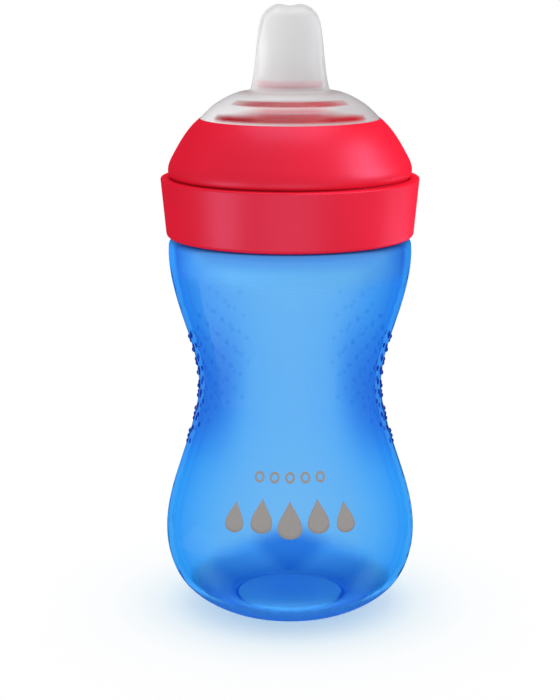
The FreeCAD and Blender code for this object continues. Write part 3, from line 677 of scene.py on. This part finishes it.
def skin_rings(rings, looped=True):
    """A closed mesh through rings of points: the last ring joins the first, or else both ends get a cap."""
    count = len(rings[0])
    vertices = [point for row in rings for point in row]
    faces = []
    last = len(rings) if looped else len(rings) - 1
    for k in range(last):
        a, b = k * count, (k + 1) % len(rings) * count
        for i in range(count):
            j = (i + 1) % count
            faces.append((a + i, a + j, b + j, b + i))
    if not looped:
        faces.append(tuple(range(count)))
        faces.append(tuple(range(len(vertices) - count, len(vertices))))
    mesh = bpy.data.meshes.new("rings")
    mesh.from_pydata(vertices, [], faces)
    bm = bmesh.new()
    bm.from_mesh(mesh)
    bmesh.ops.recalc_face_normals(bm, faces=bm.faces)
    bm.to_mesh(mesh)
    bm.free()
    return mesh


def smooth_rows(rows, steps):
    """Rows of numbers with Catmull-Rom rows put between them."""
    dense = []
    for k in range(len(rows) - 1):
        before, here = rows[max(k - 1, 0)], rows[k]
        there, after = rows[k + 1], rows[min(k + 2, len(rows) - 1)]
        for s in range(steps):
            t = s / steps
            row = []
            for p0, p1, p2, p3 in zip(before, here, there, after):
                value = 2 * p1 + (p2 - p0) * t
                value += (2 * p0 - 5 * p1 + 4 * p2 - p3) * t * t
                value += (3 * p1 - p0 - 3 * p2 + p3) * t**3
                row.append(value / 2)
            dense.append(tuple(row))
    dense.append(tuple(rows[-1]))
    return dense


def split_rows(rows, longest):
    """Rows with straight rows put between them wherever two are further apart than longest."""
    dense = [rows[0]]
    for here, there in zip(rows, rows[1:]):
        gap = max(abs(a - b) for a, b in zip(here, there))
        count = max(1, math.ceil(gap / longest))
        for s in range(1, count + 1):
            dense.append(tuple(a + (b - a) * s / count for a, b in zip(here, there)))
    return dense


def tip_dip(x, z):
    """How far the spout's top is lowered at x: two small humps with a shallow dip between them."""
    near_tip = min(1.0, max(0.0, (z - DIP_FOOT) / (SPOUT_TOP_Z - DIP_FOOT)))
    return DIP * near_tip * (0.5 + 0.5 * math.cos(math.pi * min(abs(x) / HUMP_X, 1.0)))


def oval(z, a, b, power=2.0):
    """A ring of points, in metres; a power above 2 squares the oval's corners."""
    points = []
    for i in range(SEGMENTS):
        t = 2 * math.pi * i / SEGMENTS
        c, s = math.cos(t), math.sin(t)
        x = a * math.copysign(abs(c) ** (2 / power), c)
        y = b * math.copysign(abs(s) ** (2 / power), s)
        points.append((x * MM, y * MM, (z - tip_dip(x, z)) * MM))
    return points


def ring(a, b, z, count, centre_y=0.0):
    """A level ellipse of points, in metres, from sizes in millimetres."""
    points = []
    for i in range(count):
        t = 2 * math.pi * i / count
        points.append((a * math.cos(t) * MM, (centre_y + b * math.sin(t)) * MM, z * MM))
    return points


def lathe(profile, segments=96, centre_y=0.0, looped=True):
    """A closed solid of revolution about an upright axis, from (radius, height) points in millimetres."""
    return skin_rings([ring(r, r, z, segments, centre_y) for r, z in profile], looped)


def cut(mesh, tool):
    """The mesh with the tool's space taken out of it."""
    block = bpy.data.objects.new("block", mesh)
    cutter = bpy.data.objects.new("cutter", tool)
    for thing in (block, cutter):
        bpy.context.scene.collection.objects.link(thing)
    step = block.modifiers.new("cut", "BOOLEAN")
    step.operation = "DIFFERENCE"
    step.solver = "EXACT"
    step.object = cutter
    bpy.context.view_layer.update()
    shown = block.evaluated_get(bpy.context.evaluated_depsgraph_get())
    result = bpy.data.meshes.new_from_object(shown)
    for thing in (block, cutter):
        bpy.data.objects.remove(thing)
    result.materials.clear()
    return result


# ---------------------------------------------------------------- soft pieces
def soft_spout(made):
    """One silicone moulding: skirt over the lid's steps, snap-in hub, hollow oval spout with its slot."""
    outside = list(SPOUT_SKIN[:2]) + smooth_rows(SPOUT_SKIN[2:], SKIN_STEPS)
    hollow = split_rows(SPOUT_HOLLOW, LONGEST_STEP)
    under = split_rows([(z, r, r) for r, z in SPOUT_UNDERSIDE], LONGEST_STEP)
    rings = [oval(*row) for row in outside]
    rings += [oval(z, *SPOUT_SLOT, SLOT_SQUARENESS) for z in SLOT_HEIGHTS]
    rings += [oval(*row) for row in reversed(hollow)]
    rings += [oval(*row) for row in under[1:-1]]
    air_way = lathe(AIR_WAY, segments=32, centre_y=VENT_Y, looped=False)
    mesh = cut(skin_rings(rings), air_way)
    piece = link("soft_spout_skin", mesh, made, "lid", "silicone_clear", "soft_spout")
    mesh.set_sharp_from_angle(angle=math.radians(SHARP_ANGLE))
    return piece


def lid_gasket(made):
    """Washer with a rounded bead on each face."""
    return link("lid_gasket_ring", lathe(GASKET), made, "lid", "silicone_clear", "lid_gasket")


def sip_valve(made):
    """Disc with a thin sealing lip, a shallow dished top and a guide sleeve."""
    return link("sip_valve_disc", lathe(DISC), made, "sip_disc", "silicone_clear", "sip_valve")


def vent_valve(made):
    """Duckbill: a round flange and neck that flatten to two lips."""
    rows = split_rows(DUCKBILL, longest=0.5)
    rings = [ring(a, b, z, count=40, centre_y=VENT_Y) for z, a, b in rows]
    return link("vent_duckbill", skin_rings(rings), made, "lid", "silicone_clear", "vent_valve")


# ---------------------------------------------------------------- printed motif
class Wall:
    """The bottle's outside, found by rays towards its axis."""

    def __init__(self):
        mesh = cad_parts["bottle"].data
        points = [v.co for v in mesh.vertices]
        faces = [tuple(p.vertices) for p in mesh.polygons]
        self.tree = BVHTree.FromPolygons(points, faces)

    def point(self, across, z, lift):
        """A place across mm round the wall from the front and z mm up, lift mm proud of it, in metres."""
        angle = -math.pi / 2 + across / PRINT_RADIUS
        outward = Vector((math.cos(angle), math.sin(angle), 0.0))
        start = outward * RAY_START + Vector((0, 0, z * MM))
        hit = self.tree.ray_cast(start, -outward)[0]
        return hit + outward * (lift * MM)


def drop_outline(size, count=36):
    """A rain drop, point up, as (across, up) points about its centre."""
    points = []
    for i in range(count):
        t = 2 * math.pi * i / count
        across = math.sin(t) * math.sin(t / 2) ** DROP_TAPER * size * DROP_WIDTH
        points.append((across, math.cos(t) * size))
    return points


def bubble_outline(size, count=36):
    turns = (2 * math.pi * i / count for i in range(count))
    return [(math.sin(t) * size, math.cos(t) * size) for t in turns]


def patch(wall, outline, centre, hole):
    """A thin closed print that hugs the wall inside an outline; hole is the share of it that stays open."""
    inner = hole or PATCH_CORE
    tops, feet = [], []
    for k in range(PATCH_STEPS + 1):
        share = inner + (1 - inner) * k / PATCH_STEPS
        places = [(centre[0] + across * share, centre[1] + up * share) for across, up in outline]
        tops.append([wall.point(*place, INK_PROUD) for place in places])
        feet.append([wall.point(*place, INK_FOOT) for place in places])
    return skin_rings(tops + feet[::-1], looped=bool(hole))


def printed_motif(made):
    """Rain drops under a row of bubbles in place of a printed mark: generic shapes only."""
    wall = Wall()
    whole = bmesh.new()
    for k in range(-PER_SIDE, PER_SIDE + 1):
        bubble = bubble_outline(BUBBLE_SIZE)
        whole.from_mesh(patch(wall, bubble, (k * BUBBLE_PITCH, BUBBLE_Z), BUBBLE_HOLE))
        drop = drop_outline(DROP_SIZE - DROP_SHRINK * abs(k))
        whole.from_mesh(patch(wall, drop, (k * DROP_PITCH, DROP_Z + DROP_STAGGER * (k % 2)), 0.0))
    joined = bpy.data.meshes.new("motif")
    whole.to_mesh(joined)
    whole.free()
    return link("printed_motif", joined, made, "bottle")


# ---------------------------------------------------------------- stage
def floor():
    """A wide flat white table."""
    mesh = bpy.data.meshes.new("table")
    signs = ((-1, -1), (1, -1), (1, 1), (-1, 1))
    corners = [(x * FLOOR_HALF, y * FLOOR_HALF, -FLOOR_GAP) for x, y in signs]
    mesh.from_pydata(corners, [], [(0, 1, 2, 3)])
    mesh.materials.append(table_white())
    sheet = bpy.data.objects.new("table", mesh)
    bpy.context.scene.collection.objects.link(sheet)
    sheet.visible_glossy = False


def softbox(name, place, target, size, power):
    """A soft rectangular lamp that is only seen as a reflection."""
    light = bpy.data.lights.new(name, "AREA")
    light.shape = "RECTANGLE"
    light.size, light.size_y = size
    light.energy = power
    holder = bpy.data.objects.new(name, light)
    holder.location = place
    holder.rotation_euler = (Vector(target) - Vector(place)).to_track_quat("-Z", "Y").to_euler()
    holder.visible_camera = False
    holder.visible_transmission = False
    bpy.context.scene.collection.objects.link(holder)
    return holder


def only(lamp, pieces):
    """Keeps a lamp's light and reflection to some of the pieces."""
    group = bpy.data.collections.new(lamp.name + "_lit")
    for piece in pieces:
        group.objects.link(piece)
    lamp.light_linking.receiver_collection = group


def card(name, middle, size, power, pieces):
    """A reflector that lies on the table, facing up, out of the camera's sight."""
    only(softbox(name, (*middle, CARD_HEIGHT), (*middle, 1.0), size, power), pieces)


def studio(red_pieces, soft_pieces):
    """White surroundings, a soft lamp overhead, lamps for the sheen on lid and spout, low reflectors."""
    world = bpy.data.worlds.new("studio")
    bpy.context.scene.world = world
    world.use_nodes = True
    n = Nodes(world.node_tree)
    background = n.add("ShaderNodeBackground", {"Color": WHITE, "Strength": surround_strength(n)})
    n.add("ShaderNodeOutputWorld", {"Surface": background.outputs[0]})
    softbox("overhead", *OVERHEAD)
    only(softbox("right", *RIGHT), red_pieces)
    only(softbox("left", *LEFT), soft_pieces)
    card("low_left", *LOW_LEFT, [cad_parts["bottle"]] + soft_pieces)
    card("low_right", *LOW_RIGHT, red_pieces)
    card("low_front", *LOW_FRONT, red_pieces)
    card("low_front_left", *LOW_FRONT_LEFT, red_pieces)


def camera():
    lens = bpy.data.cameras.new("camera")
    lens.lens = CAMERA_LENS
    lens.sensor_width = SENSOR_WIDTH
    lens.shift_x = CAMERA_SHIFT
    holder = bpy.data.objects.new("camera", lens)
    holder.location = (0, -CAMERA_BACK, CAMERA_HEIGHT)
    holder.rotation_euler = (math.radians(90 - CAMERA_PITCH), 0, 0)
    bpy.context.scene.collection.objects.link(holder)
    bpy.context.scene.camera = holder


def settings():
    scene = bpy.context.scene
    scene.view_settings.view_transform = "Standard"
    scene.cycles.max_bounces = BOUNCES
    scene.cycles.transmission_bounces = SEE_THROUGH_BOUNCES
    scene.cycles.transparent_max_bounces = SEE_THROUGH_BOUNCES
    scene.cycles.caustics_refractive = True
    scene.cycles.sample_clamp_indirect = BRIGHTEST_BOUNCE


# ---------------------------------------------------------------- build
def main():
    red = red_plastic()
    milky = silicone()
    dress("bottle", blue_plastic())
    dress("grip_dots_left", grip_rubber())
    dress("grip_dots_right", grip_rubber())
    for name in ("screw_ring", "spout_lid", "valve_seat", "valve_cover"):
        dress(name, red)
    spout = soft_spout(milky)
    lid_gasket(milky)
    sip_valve(milky)
    vent_valve(milky)
    printed_motif(print_ink())
    floor()
    studio([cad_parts["screw_ring"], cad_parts["spout_lid"]], [spout])
    camera()
    settings()


main()
